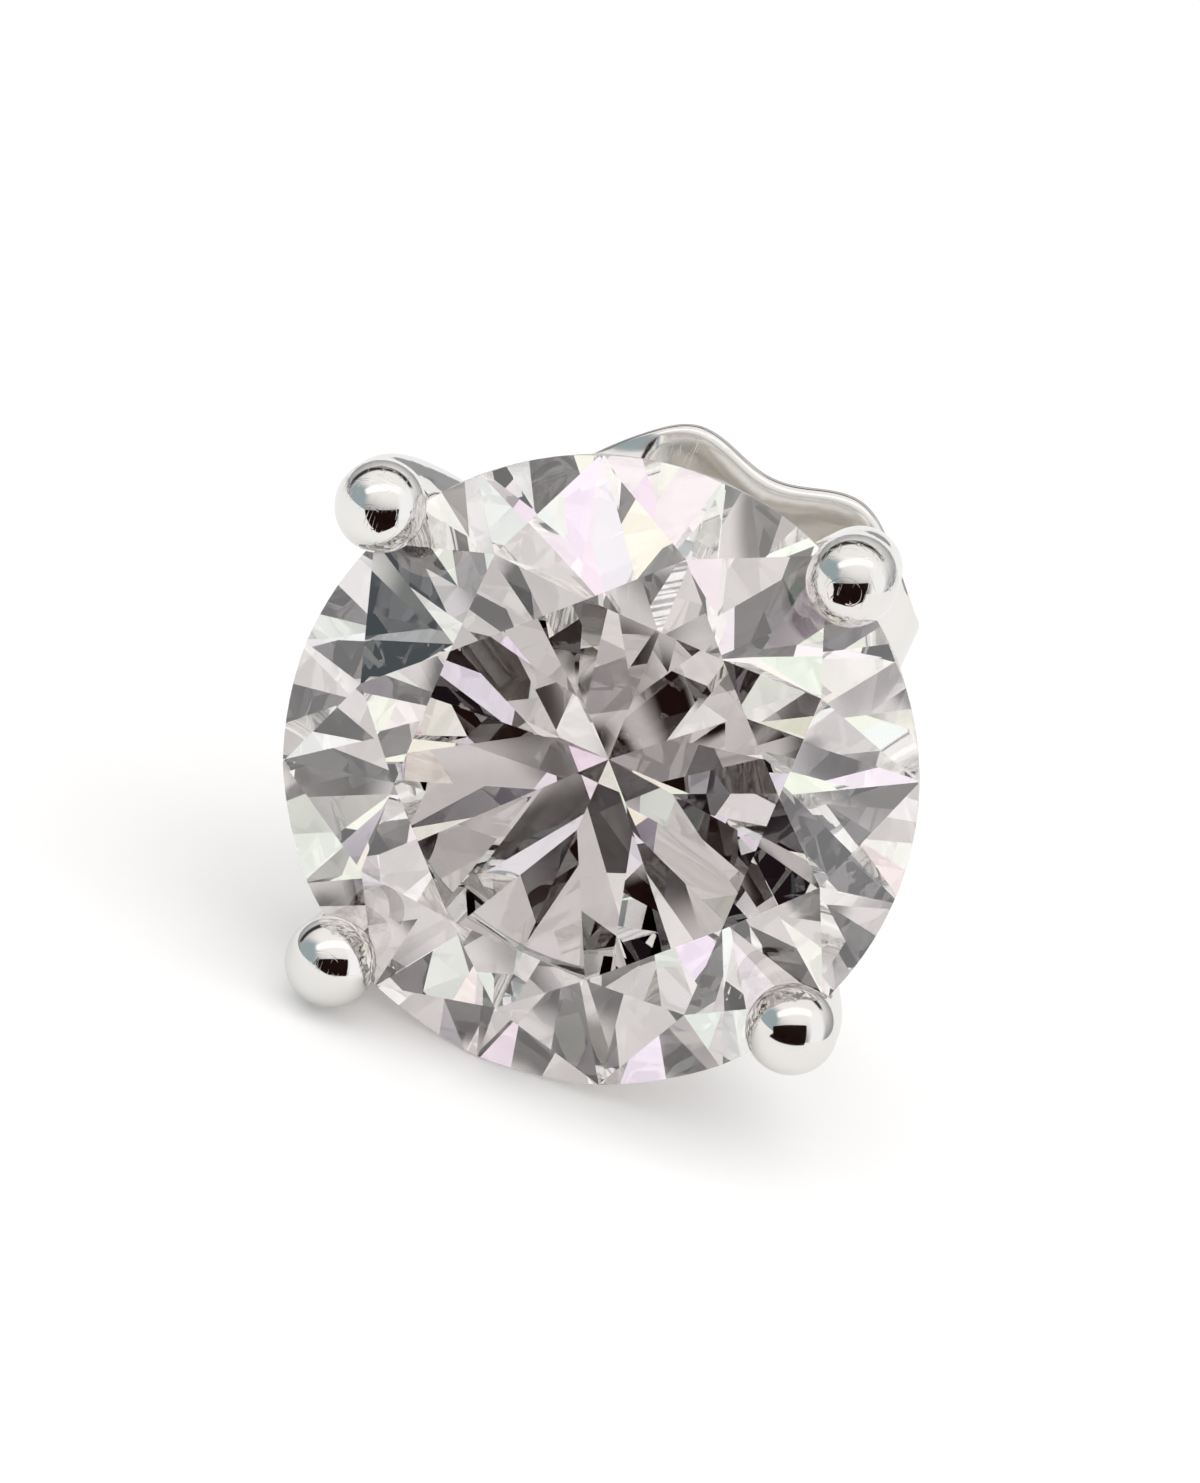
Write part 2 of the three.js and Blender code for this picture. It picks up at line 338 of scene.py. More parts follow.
class Nodes:
    """Adds nodes to one tree and links them."""

    def __init__(self, tree: bpy.types.NodeTree) -> None:
        """Starts on a tree."""
        self.tree = tree

    def add(self, kind: str, settings: dict[str, Any] | None = None, **inputs: Any) -> bpy.types.Node:
        """Adds a node.

        Args:
            kind: the node's type, without the ShaderNode in front.
            settings: the node's own properties.
            inputs: values or output sockets for its inputs, by name with _ for a space.

        Returns:
            The new node.
        """
        node = self.tree.nodes.new(f"ShaderNode{kind}")
        for key, value in (settings or {}).items():
            setattr(node, key, value)
        for key, value in inputs.items():
            self.feed(node.inputs[key.replace("_", " ")], value)
        return node

    def feed(self, socket: Socket, value: Any) -> None:
        """Links an output socket to an input, or sets the input's value.

        Args:
            socket: the input.
            value: the output socket or the value.
        """
        if isinstance(value, Socket):
            self.tree.links.new(value, socket)
        else:
            socket.default_value = value

    def math(self, operation: str, *values: Any) -> Socket:
        """A Math node's result.

        Args:
            operation: the node's operation.
            values: numbers or output sockets.

        Returns:
            The output socket.
        """
        node = self.add("Math", {"operation": operation})
        for socket, value in zip(node.inputs, values):
            self.feed(socket, value)
        return node.outputs[0]

    def vector(self, operation: str, *values: Any) -> bpy.types.Node:
        """A Vector Math node.

        Args:
            operation: the node's operation.
            values: vectors or output sockets.

        Returns:
            The node.
        """
        node = self.add("VectorMath", {"operation": operation})
        for socket, value in zip(node.inputs, values):
            self.feed(socket, value)
        return node

    def ramp(self, value: Any, low: float, high: float, start: float, end: float) -> Socket:
        """A smooth step from one value to another.

        Args:
            value: the output socket that drives it.
            low: where the step starts.
            high: where the step ends.
            start: the result before the step.
            end: the result after it.

        Returns:
            The output socket.
        """
        node = self.add("MapRange", {"interpolation_type": "SMOOTHSTEP"})
        for socket, number in zip(node.inputs, (value, low, high, start, end)):
            self.feed(socket, number)
        return node.outputs[0]

    def mix(self, share: Any, first: Any, second: Any, blend: str = "MIX") -> Socket:
        """Two colours mixed.

        Args:
            share: how much of the second colour shows.
            first: a colour or an output socket.
            second: a colour or an output socket.
            blend: how they are mixed.

        Returns:
            The output socket.
        """
        node = self.add("Mix", {"data_type": "RGBA", "blend_type": blend})
        for socket, value in zip((node.inputs[0], node.inputs[6], node.inputs[7]), (share, first, second)):
            self.feed(socket, value)
        return node.outputs[2]


def solid(colour: Colour) -> tuple[float, float, float, float]:
    """A colour with the full alpha that a socket asks for."""
    return (*colour, 1.0)


def grey(value: float) -> tuple[float, float, float, float]:
    """A grey colour."""
    return solid((value, value, value))


def new_group(name: str, inputs: dict[str, float], outputs: Sequence[str]) -> bpy.types.NodeTree:
    """A node group with a Vector input and named number sockets.

    Args:
        name: the group's name.
        inputs: names and default values of its number inputs.
        outputs: names of its number outputs.

    Returns:
        The group, with its input and output nodes in place.
    """
    tree = bpy.data.node_groups.new(name, "ShaderNodeTree")
    tree.interface.new_socket("Vector", in_out="INPUT", socket_type="NodeSocketVector")
    for key, value in inputs.items():
        tree.interface.new_socket(key, in_out="INPUT", socket_type="NodeSocketFloat").default_value = value
    for key in outputs:
        tree.interface.new_socket(key, in_out="OUTPUT", socket_type="NodeSocketFloat")
    tree.nodes.new("NodeGroupInput")
    tree.nodes.new("NodeGroupOutput")
    return tree


def handling_marks() -> bpy.types.NodeTree:
    """Fine marks that handling leaves on a polish.

    Two noises, each stretched along a direction of its own, are cut to thin lines where they pass through
    their middle value. A broad noise thins them out in patches. Marks is 1 on a line, and Haze is a soft
    mask of finger film.

    Returns:
        The node group.
    """
    directions = {0.5: (1.0, 9.0, 1.0), 2.1: (8.0, 1.0, 1.0)}  # turn in radians, and stretch
    line_noise, patch_noise, haze_noise = 900.0, 700.0, 330.0
    line_width, patch_range, haze_range = 0.012, (0.45, 0.7), (0.42, 0.72)
    tree = new_group("handling_marks", {"Scale": 1.0, "Amount": 0.5}, ["Marks", "Haze"])
    nodes = Nodes(tree)
    start, end = tree.nodes["Group Input"], tree.nodes["Group Output"]
    place, scale, amount = (start.outputs[key] for key in ("Vector", "Scale", "Amount"))

    def noise(size: float, vector: Socket = place, **settings: float) -> Socket:
        """A noise whose size follows the group's Scale."""
        fine = nodes.math("MULTIPLY", scale, size)
        return nodes.add("TexNoise", Vector=vector, Scale=fine, **settings).outputs[0]

    lines = []
    for turn, stretch in directions.items():
        drawn = nodes.add("Mapping", Vector=place, Rotation=(turn, turn / 2, turn), Scale=stretch).outputs[0]
        distance = nodes.math("ABSOLUTE", nodes.math("SUBTRACT", noise(line_noise, drawn, Detail=3.0), 0.5))
        lines.append(nodes.ramp(distance, 0.0, line_width, 1.0, 0.0))
    patches = nodes.ramp(noise(patch_noise, Detail=1.0), *patch_range, 0.0, 1.0)
    marks = nodes.math("MULTIPLY", nodes.math("MAXIMUM", *lines), patches)
    haze = nodes.ramp(noise(haze_noise, Detail=4.0, Distortion=0.6), *haze_range, 0.0, 1.0)
    nodes.feed(end.inputs["Marks"], nodes.math("MULTIPLY", marks, amount))
    nodes.feed(end.inputs["Haze"], nodes.math("MULTIPLY", haze, amount))
    return tree


def blank_material(name: str) -> tuple[bpy.types.Material, Nodes, bpy.types.Node]:
    """A material with only a Principled shader.

    Args:
        name: the material's name.

    Returns:
        The material, a node adder on its tree, and the shader.
    """
    material = bpy.data.materials.new(name)
    material.use_nodes = True
    material.node_tree.nodes.clear()
    nodes = Nodes(material.node_tree)
    shader = nodes.add("BsdfPrincipled")
    out = nodes.add("OutputMaterial")
    nodes.feed(out.inputs["Surface"], shader.outputs[0])
    return material, nodes, shader


@dataclass(frozen=True)
class PolishedGold:
    """Polished white gold: a warm white mirror with fine marks and a faint film."""

    name: str
    colour: Colour = (0.90, 0.885, 0.86)
    film_colour: Colour = (0.84, 0.81, 0.775)  # under a film of finger grease
    roughness: float = 0.05
    film_roughness: float = 0.06
    marked_roughness: float = 0.2  # on a fine mark
    marks: float = 0.5  # how much the marks and the film show, from 0 to 1
    ripple: float = 0.000012  # height of the polish's faint swell, in metres
    ripple_noise: float = 1500.0
    mark_depth: float = 0.4  # depth of a mark, as a share of the swell

    def build(self, group: bpy.types.NodeTree) -> bpy.types.Material:
        """Builds the material.

        Args:
            group: the handling_marks group.

        Returns:
            The material.
        """
        material, nodes, shader = blank_material(self.name)
        place = nodes.add("TexCoord").outputs["Object"]
        wear = nodes.add("Group", {"node_tree": group}, Vector=place, Scale=1.0, Amount=self.marks)
        film, marks = wear.outputs["Haze"], wear.outputs["Marks"]
        colour = nodes.mix(film, solid(self.colour), solid(self.film_colour))
        nodes.feed(shader.inputs["Base Color"], colour)
        shader.inputs["Metallic"].default_value = 1.0
        rough = nodes.math("MULTIPLY_ADD", film, self.film_roughness, self.roughness)
        rough = nodes.math("MAXIMUM", rough, nodes.math("MULTIPLY", marks, self.marked_roughness))
        nodes.feed(shader.inputs["Roughness"], rough)
        swell = nodes.add("TexNoise", Vector=place, Scale=self.ripple_noise, Detail=2.0)
        height = nodes.math("SUBTRACT", swell.outputs[0], nodes.math("MULTIPLY", marks, self.mark_depth))
        bump = nodes.add("Bump", Height=height, Strength=0.5, Distance=self.ripple)
        nodes.feed(shader.inputs["Normal"], bump.outputs[0])
        return material


@dataclass(frozen=True)
class CutDiamond:
    """Clear diamond: polished facets, a slightly dull girdle and a trace of finger film on the crown."""

    name: str = "cut_diamond"
    body_colour: Colour = (0.985, 0.978, 0.975)
    film_colour: Colour = (0.97, 0.965, 0.965)
    film_roughness: float = 0.02
    mark_scale: float = 0.8  # size of the marks' pattern against the metal's
    marks: float = 0.25  # how much the film shows, from 0 to 1
    refraction: float = 2.417
    girdle_roughness: float = 0.22  # of the finely ground girdle

    def build(self, group: bpy.types.NodeTree) -> bpy.types.Material:
        """Builds the material. The piece's own attribute girdle says where the stone isn't a facet.

        Args:
            group: the handling_marks group.

        Returns:
            The material.
        """
        material, nodes, shader = blank_material(self.name)
        place = nodes.add("TexCoord").outputs["Object"]
        settings = {"node_tree": group}
        wear = nodes.add("Group", settings, Vector=place, Scale=self.mark_scale, Amount=self.marks)
        girdle = nodes.add("Attribute", {"attribute_name": "girdle"}).outputs["Fac"]
        film = nodes.math("MULTIPLY", wear.outputs["Haze"], self.film_roughness)
        rough = nodes.math("MULTIPLY_ADD", girdle, self.girdle_roughness, film)
        nodes.feed(shader.inputs["Roughness"], rough)
        colour = nodes.mix(wear.outputs["Haze"], solid(self.body_colour), solid(self.film_colour))
        nodes.feed(shader.inputs["Base Color"], colour)
        shader.inputs["Transmission Weight"].default_value = 1.0
        shader.inputs["IOR"].default_value = self.refraction
        return material


# ---- stone --------------------------------------------------------------------------------------


@dataclass
class Brilliant:
    """The round brilliant: 33 crown facets, 24 pavilion facets and a thin, wavy girdle.

    Its facets repeat FOLDS times round it, and each repeat is halved by the tip of a star facet.
    """

    FOLDS: ClassVar[int] = 8
    HALF_FOLD: ClassVar[float] = 22.5
    CROWN_FACETS: ClassVar[int] = 33

    axes: StudAxes
    finish: bpy.types.Material | None = None
    diameter: float = 6.5
    table: float = 0.6  # width of the table, as a share of the diameter
    crown_angle: float = 34.5
    pavilion_angle: float = 40.8
    girdle: float = 0.13  # thickness where two girdle facets meet
    star_share: float = 0.5  # how far a star facet reaches from the table's edge to the girdle
    lower_share: float = 0.77  # how far a lower girdle facet reaches from the girdle to the culet
    turn: float = 6.8  # turn against the square of the prongs, in degrees
    arc_steps: int = 8  # straight steps along each girdle facet

    def ring(self, first: float, radius: float, z: float) -> np.ndarray:
        """Evenly spaced points round the axis, one for each repeat of the facets.

        Args:
            first: the first one's angle, in degrees.
            radius: their distance from the axis.
            z: their height.

        Returns:
            The points, one to a row.
        """
        angle = math.radians(first) + round_turns(self.FOLDS)
        return np.stack([radius * np.cos(angle), radius * np.sin(angle), np.full_like(angle, z)], -1)

    def wavy_edge(self, tip_radius: float, tip_z: float, edge_z: float) -> np.ndarray:
        """The edge between the girdle and its 16 facets above.

        Each facet is the plane through two of the 16 high points of the girdle and the tip of a star or
        lower facet: z = the plane's height at each point of the round girdle.

        Args:
            tip_radius: the tips' distance from the axis.
            tip_z: their height.
            edge_z: the high points' height.

        Returns:
            The edge's points, arc_steps of them to a facet.
        """
        radius = self.diameter / 2
        share = np.arange(2 * self.FOLDS * self.arc_steps) / self.arc_steps
        facet = np.floor(share)
        angle = np.radians(self.HALF_FOLD * share)
        a, b, tip = (
            np.stack([size * np.cos(turn), size * np.sin(turn), np.full_like(angle, z)], -1)
            for size, turn, z in (
                (radius, np.radians(self.HALF_FOLD * facet), edge_z),
                (radius, np.radians(self.HALF_FOLD * (facet + 1)), edge_z),
                (tip_radius, np.radians(self.HALF_FOLD * (2 * (facet // 2) + 1)), tip_z),
            )
        )
        normal = np.cross(b - a, tip - a)
        x, y = radius * np.cos(angle), radius * np.sin(angle)
        z = a[:, 2] - (normal[:, 0] * (x - a[:, 0]) + normal[:, 1] * (y - a[:, 1])) / normal[:, 2]
        return np.stack([x, y, z], -1)

    def shell(self, growth: float = 1.0) -> Shell:
        """The stone's facets, each one polygon in its own plane.

        Rings of points stand at the table's corners, the star tips, the two edges of the girdle, the lower
        tips and the culet. Faces join them by number, eight times round.

        Args:
            growth: how many times its own size the stone is, for the seat that the prongs leave for it.

        Returns:
            The closed surface.
        """
        radius, edge, steps = self.diameter / 2, self.girdle / 2, self.arc_steps
        crown = math.tan(math.radians(self.crown_angle))
        pavilion = math.tan(math.radians(self.pavilion_angle))
        half = math.cos(math.radians(self.HALF_FOLD))
        table_radius = radius * self.table
        star_radius = table_radius * half + self.star_share * (radius - table_radius * half)
        star_z = edge + (radius - star_radius * half) * crown
        lower_radius = radius * (1 - self.lower_share)
        culet_z = -edge - radius * pavilion
        lower_z = culet_z + lower_radius * half * pavilion
        top = self.wavy_edge(star_radius, star_z, edge)
        bottom = self.wavy_edge(lower_radius, -lower_z, edge) * (1, 1, -1)
        rings = [
            self.ring(0, table_radius, edge + (radius - table_radius) * crown),
            self.ring(self.HALF_FOLD, star_radius, star_z),
            top,
            bottom,
            self.ring(self.HALF_FOLD, lower_radius, lower_z),
            np.array([[0, 0, culet_z]]),
        ]
        table, star, above, below, lower, culet, _ = np.cumsum([0] + [len(ring) for ring in rings])
        count = 2 * self.FOLDS * steps
        here = np.arange(self.FOLDS)[:, None]
        after, before = (here + 1) % self.FOLDS, (here - 1) % self.FOLDS
        corner = 2 * here * steps
        span = np.arange(steps + 1)[None, :]
        first_arc = (corner + span) % count
        second_arc = (corner + steps + span) % count
        belt = np.arange(count)[:, None]
        belt_after = (belt + 1) % count
        faces = [
            table + here.T,
            np.hstack([table + here, star + here, table + after]),
            np.hstack([table + here, star + before, above + corner, star + here]),
            np.hstack([star + here, above + first_arc]),
            np.hstack([star + here, above + second_arc]),
            np.hstack([above + belt, below + belt, below + belt_after, above + belt_after]),
            np.hstack([lower + here, below + first_arc[:, ::-1]]),
            np.hstack([lower + here, below + second_arc[:, ::-1]]),
            np.hstack([culet + 0 * here, lower + here, below + corner, lower + before]),
        ]
        points = turned_about_axis(np.vstack(rings), self.turn) * growth
        return outward(points, [face for group in faces for face in group.tolist()])

    def build(self) -> bpy.types.Object:
        """Builds the stone, marks its girdle and dresses it.

        Returns:
            The stone.
        """
        points, faces = self.shell()
        piece = mesh_object("brilliant", (self.axes.place(points), faces))
        belt = np.zeros(len(faces), np.float32)
        belt[self.CROWN_FACETS : self.CROWN_FACETS + 2 * self.FOLDS * self.arc_steps] = 1.0
        piece.data.attributes.new("girdle", "FLOAT", "FACE").data.foreach_set("value", belt)
        piece.data.materials.append(self.finish)
        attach(piece, Body.STUD.value)
        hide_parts("stone")
        return piece


# ---- setting ------------------------------------------------------------------------------------


@dataclass(frozen=True)
class Prong:
    """One prong: its angle round the axis, and how far its bead stands out from the others' circle."""

    angle: float
    reach: float


@dataclass
class Setting:
    """The soldered basket: four prongs with beads, a gallery rail, a base plate and the post."""

    axes: StudAxes
    stone: Brilliant
    finish: bpy.types.Material | None = None
    prongs: tuple[Prong, ...] = (Prong(46, 0.0), Prong(135, 0.12), Prong(223, -0.04), Prong(316, -0.16))
    foot_radius: float = 1.45  # distance of a prong's foot from the axis
    foot_z: float = -3.5
    girdle_radius: float = 3.42  # distance of a prong's middle from the axis, level with the girdle
    bend_radius: float = 3.62  # the corner that a prong's curve bends round, below the girdle
    bend_z: float = -0.5
    run_share: float = 0.62  # how much of the way to that corner it runs nearly straight
    tip_z: float = 0.5  # height of the bead's middle above the girdle's
    tip_lean: float = 0.05  # how far the tip leans in over the stone
    foot_thickness: float = 0.78
    shaft_thickness: float = 0.84
    bead: float = 0.93  # width of the bead
    rail_radius: float = 2.42  # distance of the rail's wire from the axis
    rail_z: float = -1.78
    rail_thickness: float = 0.62
    base_radius: float = 1.9
    base_front_z: float = -3.4
    base_thickness: float = 0.62
    base_round: float = 0.16  # radius of the plate's edges
    post: float = 0.9
    post_tip_z: float = -13.6
    post_tip_round: float = 0.25
    fillet_radius: float = 0.72  # reach of the solder round the post, from the axis
    bead_blend: float = 40.0  # how sharply a bead rises from its prong, to a mm
    solder_swell: float = 0.04  # how much fuller the rail's wire is at a prong
    solder_spread: float = 0.26  # how far that swell runs along the rail, in radians
    crease: float = 32.0  # angle between faces from which an edge stays sharp, in degrees
    path_steps: int = 60
    dome_steps: int = 16
    prong_sides: int = 40
    rail_steps: int = 160
    rail_sides: int = 28
    edge_steps: int = 8
    post_rows: int = 24
    row_gap: float = 0.3  # length of post between the fillet and its first ring of points
    post_sides: int = 96

    def prong_shell(self, prong: Prong) -> Shell:
        """A prong: a round section carried along a bent path, closed by its bead.

        The path is a cubic Bezier curve in a plane through the axis. The section's radius grows evenly
        from foot to tip. Near the tip it is the larger of that and the bead's circle, smoothed as the
        logarithm of the sum of both radii's exponentials, times bead_blend.

        Args:
            prong: which prong.

        Returns:
            The closed surface.
        """
        girdle = self.girdle_radius + prong.reach
        foot = np.array([self.foot_radius, self.foot_z])
        bend = np.array([self.bend_radius + prong.reach, self.bend_z])
        tip = np.array([girdle - self.tip_lean, self.tip_z])
        near = foot + (bend - foot) * self.run_share
        t = np.linspace(0, 1, self.path_steps + 1)[:, None]
        path = (1 - t) ** 3 * foot + 3 * (1 - t) ** 2 * t * near + 3 * (1 - t) * t**2 * bend + t**3 * tip
        slope = 3 * (1 - t) ** 2 * (near - foot) + 6 * (1 - t) * t * (bend - near) + 3 * t**2 * (tip - bend)
        slope /= np.linalg.norm(slope, axis=1)[:, None]
        length = np.concatenate([[0], np.cumsum(np.linalg.norm(np.diff(path, axis=0), axis=1))])
        bead = self.bead / 2
        dome = np.radians(np.linspace(0, 90, self.dome_steps + 1)[1:-1])
        path = np.vstack([path, tip + slope[-1] * (bead * np.sin(dome))[:, None]])
        slope = np.vstack([slope, np.repeat(slope[-1:], len(dome), 0)])
        along = np.concatenate([length, length[-1] + bead * np.sin(dome)]) - length[-1]
        share = np.clip(1 + along / length[-1], 0, 1)
        shaft = (self.foot_thickness + (self.shaft_thickness - self.foot_thickness) * share) / 2
        ball = np.sqrt(np.clip(bead**2 - along**2, 0, None))
        below = along < 0
        radius = ball.copy()
        radius[below] = np.logaddexp(self.bead_blend * shaft, self.bead_blend * ball)[below] / self.bead_blend
        radius[below] = np.minimum(radius[below], bead)
        turn = round_turns(self.prong_sides)
        outwards = np.stack([slope[:, 1], -slope[:, 0]], -1)
        side = radius[:, None] * np.cos(turn)
        rings = np.stack(
            [
                path[:, :1] + outwards[:, :1] * side,
                radius[:, None] * np.sin(turn),
                path[:, 1:] + outwards[:, 1:] * side,
            ],
            -1,
        )
        top = tip + slope[-1] * bead
        points, faces = closed_skin(rings, np.array([[foot[0], 0, foot[1]]]), np.array([[top[0], 0, top[1]]]))
        return turned_about_axis(points, prong.angle), faces

    def rail_shell(self) -> Shell:
        """The gallery rail: a ring of round wire, a little fuller where solder holds it to each prong.

        Its section's radius is the wire's, plus a bell curve of the angle to the nearest prong.

        Returns:
            The closed surface.
        """
        around = round_turns(self.rail_steps)
        angles = np.radians([prong.angle for prong in self.prongs])
        away = np.abs((around[:, None] - angles + np.pi) % (2 * np.pi) - np.pi).min(1)
        wire = self.rail_thickness / 2 + self.solder_swell * np.exp(-((away / self.solder_spread) ** 2))
        turn = round_turns(self.rail_sides)
        reach = self.rail_radius + wire[:, None] * np.cos(turn)
        points = np.stack(
            [
                reach * np.cos(around)[:, None],
                reach * np.sin(around)[:, None],
                self.rail_z + wire[:, None] * np.sin(turn),
            ],
            -1,
        ).reshape(-1, 3)
        quads = grid_faces(self.rail_steps + 1, self.rail_sides) % len(points)
        return outward(points, quads.tolist())

    def base_shell(self) -> Shell:
        """The base plate and the post, turned as one bar: arcs round its edges, its fillet and its tip.

        Returns:
            The closed surface.
        """
        rear = self.base_front_z - self.base_thickness
        post, edge, tip, steps = self.post / 2, self.base_round, self.post_tip_round, self.edge_steps
        plate = self.base_radius - edge
        bend = self.fillet_radius - post
        shaft = np.linspace(rear - bend - self.row_gap, self.post_tip_z + tip, self.post_rows)
        profile = np.vstack(
            [
                arc((plate, self.base_front_z - edge), edge, 90, 0, steps),
                arc((plate, rear + edge), edge, 0, -90, steps),
                arc((self.fillet_radius, rear - bend), bend, 90, 180, steps),
                np.stack([np.full_like(shaft, post), shaft], -1),
                arc((post - tip, self.post_tip_z + tip), tip, 0, -90, steps)[1:],
            ]
        )
        inner = np.array([[plate / 2, self.base_front_z]])
        return turned(np.vstack([inner, profile]), self.post_sides)

    def build(self) -> bpy.types.Object:
        """Builds the setting as one solid, with the stone's seat cut in the prongs, and dresses it.

        Returns:
            The setting.
        """
        shells = [self.base_shell(), self.rail_shell(), *(self.prong_shell(p) for p in self.prongs)]
        seat = self.stone.shell(1 + 2 * FIT_GAP / self.stone.diameter)
        piece = fused("basket_and_post", shells, [seat])
        carry(piece, self.axes)
        smooth_shaded(piece, self.crease)
        piece.data.materials.clear()
        piece.data.materials.append(self.finish)
        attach(piece, Body.STUD.value)
        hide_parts("setting")
        return piece


def carry(piece: bpy.types.Object, axes: StudAxes, turn: float = 0.0, shift: float = 0.0) -> None:
    """Carries a piece's mesh from the stud's millimetres into the frame.

    Args:
        piece: the piece.
        axes: the stud's axes.
        turn: a turn about the stud's axis that comes first, in degrees.
        shift: a move along the stud's axis that comes with it, in millimetres.
    """
    mesh = piece.data
    points = turned_about_axis(mesh_points(mesh), turn) + (0, 0, shift)
    mesh.vertices.foreach_set("co", axes.place(points).astype(np.float32).ravel())
    mesh.update()


# ---- butterfly back -----------------------------------------------------------------------------


@dataclass
class ButterflyBack:
    """The butterfly back: one strip whose ends curl back into scrolls beside the post."""

    axes: StudAxes
    finish: bpy.types.Material | None = None
    front_z: float = -7.9  # the flat front, along the stud's axis
    turn: float = -17.0  # turn about the post, in degrees
    metal: float = 0.24  # thickness of the strip
    scroll: float = 0.7  # radius of each scroll, to the middle of the metal
    curl: float = 270.0  # how far each scroll turns, in degrees
    waist_width: float = 3.5
    lobe_width: float = 3.9
    lobe_at: float = 0.9  # distance along the strip, from the post, at which it is highest
    tongue_width: float = 1.7
    tongue_at: float = 2.5  # distance at which it has narrowed to the tongue
    tip_length: float = 0.5  # length of the rounded tip
    tip_rounding: float = 0.85  # share of the height's square that the rounding takes away at the tip's end
    post: float = 0.9
    edge_round: float = 0.1
    dish: float = 0.07  # how far the front's edges are bent back
    collar_radius: float = 0.82
    collar_wall: float = 0.13
    collar_length: float = 0.46
    collar_start: float = 0.96  # depth at which the collar leaves the plate, in thicknesses of metal
    countersink: float = 0.2  # radius of the hole's rounded mouth
    hole_overrun: float = 0.3  # how far the hole's cutter runs past the metal
    crease: float = 40.0  # angle between faces from which an edge stays sharp, in degrees
    curl_steps: int = 72
    front_steps: int = 61
    corner_steps: int = 5
    flat_steps: int = 15
    hole_sides: int = 64
    rim_steps: int = 6
    flare_steps: int = 8
    funnel_steps: int = 10

    @property
    def scroll_centre(self) -> float:
        """The scroll's middle, counted from the post's axis."""
        return self.post / 2 + FIT_GAP + self.metal / 2 + self.scroll

    @property
    def length(self) -> float:
        """The strip's length from the post's axis to either tip."""
        return self.scroll_centre + self.scroll * math.radians(self.curl)

    def half_height(self, along: np.ndarray) -> np.ndarray:
        """Half the strip's height at distances along it from the post.

        Half cosine waves carry it from the waist to the lobe, and from the lobe to the tongue. The tip
        follows the square root of one less a square, which rounds it.

        Args:
            along: the distances.

        Returns:
            Half heights.
        """
        past_lobe = (along - self.lobe_at) / (self.tongue_at - self.lobe_at)
        rise, fall = (1 - np.cos(np.pi * np.clip([along / self.lobe_at, past_lobe], 0, 1))) / 2
        height = self.waist_width + (self.lobe_width - self.waist_width) * rise
        height += (self.tongue_width - self.lobe_width) * fall
        tip = np.clip(1 - (self.length - along) / self.tip_length, 0, None)
        return height / 2 * np.sqrt(1 - self.tip_rounding * tip**2)

    def section(self, half: np.ndarray) -> tuple[np.ndarray, np.ndarray]:
        """Rounded rectangles, as heights and as depths through the metal: a quarter circle at each corner.

        Args:
            half: half the height of each rectangle.

        Returns:
            Two arrays, one row for each rectangle.
        """
        r = self.edge_round
        quarter = np.radians(np.linspace(0, 90, self.corner_steps + 1))
        across = np.linspace(1, -1, self.flat_steps + 1)[1:-1]
        heights, depths = [], []
        for up, out, first in ((1, 1, 0), (-1, 1, 90), (-1, -1, 180), (1, -1, 270)):
            bend = quarter + math.radians(first)
            heights.append(up * (half[:, None] - r) + r * np.cos(bend))
            depths.append(np.broadcast_to(out * (self.metal / 2 - r) + r * np.sin(bend), heights[-1].shape))
            if up == out:
                heights.append((half[:, None] - r) * across * up)
                depths.append(np.full(heights[-1].shape, out * self.metal / 2))
        return np.hstack(heights), np.hstack(depths)

    def strip_shell(self) -> Shell:
        """The strip: a rounded rectangle carried along the scroll's middle line.

        The line runs straight across the front and curls round each scroll's middle. The
        broad front is dished: its edges are bent back as the square of their distance from the middle.

        Returns:
            The closed surface.
        """
        centre = self.scroll_centre
        curled = np.linspace(centre, self.length, self.curl_steps + 1)
        flat = np.linspace(-centre, centre, self.front_steps + 1)[1:-1]
        along = np.concatenate([-curled[::-1], flat, curled])[:, None]
        distance = np.abs(along)
        turn = np.sign(along) * np.clip(distance - centre, 0, None) / self.scroll
        heights, depths = self.section(self.half_height(distance[:, 0]))
        reach = self.scroll + depths
        bow = self.dish * (heights / (self.lobe_width / 2)) ** 2 * np.clip(1 - distance / centre, 0, 1)
        rings = np.stack(
            [
                np.sign(along) * np.minimum(distance, centre) + reach * np.sin(turn),
                heights,
                reach * np.cos(turn) - self.scroll - self.metal / 2 - bow,
            ],
            -1,
        )
        return closed_skin(rings, rings[:1].mean(1), rings[-1:].mean(1))

    def collar_shell(self, hole: float) -> Shell:
        """The lip that the punched hole raises on the plate's rear: a flare in an arc, and a round rim.

        Args:
            hole: the hole's radius.

        Returns:
            The closed surface.
        """
        wall, start = self.collar_wall, -self.metal * self.collar_start
        rim = arc((hole + wall / 2, -self.collar_length + wall / 2), wall / 2, 0, -90, self.rim_steps)
        foot = np.array([[self.collar_radius, -self.metal / 2], [self.collar_radius, start]])
        bend = self.collar_radius - hole - wall
        flare = arc((self.collar_radius, start - bend), bend, 90, 160, self.flare_steps)[1:]
        flare = flare[flare[:, 1] > rim[0, 1]]
        return turned(np.vstack([foot, flare, rim]), self.hole_sides)

    def bore_shell(self, hole: float) -> Shell:
        """What the post hole takes away: a plain bore that opens in a rounded funnel in front.

        Args:
            hole: the hole's radius.

        Returns:
            The closed surface.
        """
        sink, past = self.countersink, self.hole_overrun
        funnel = arc((hole + sink, -sink), sink, 90, 180, self.funnel_steps)
        profile = np.vstack([[[hole + sink, past]], funnel, [[hole, -2 * self.scroll - self.metal - past]]])
        return turned(profile, self.hole_sides)

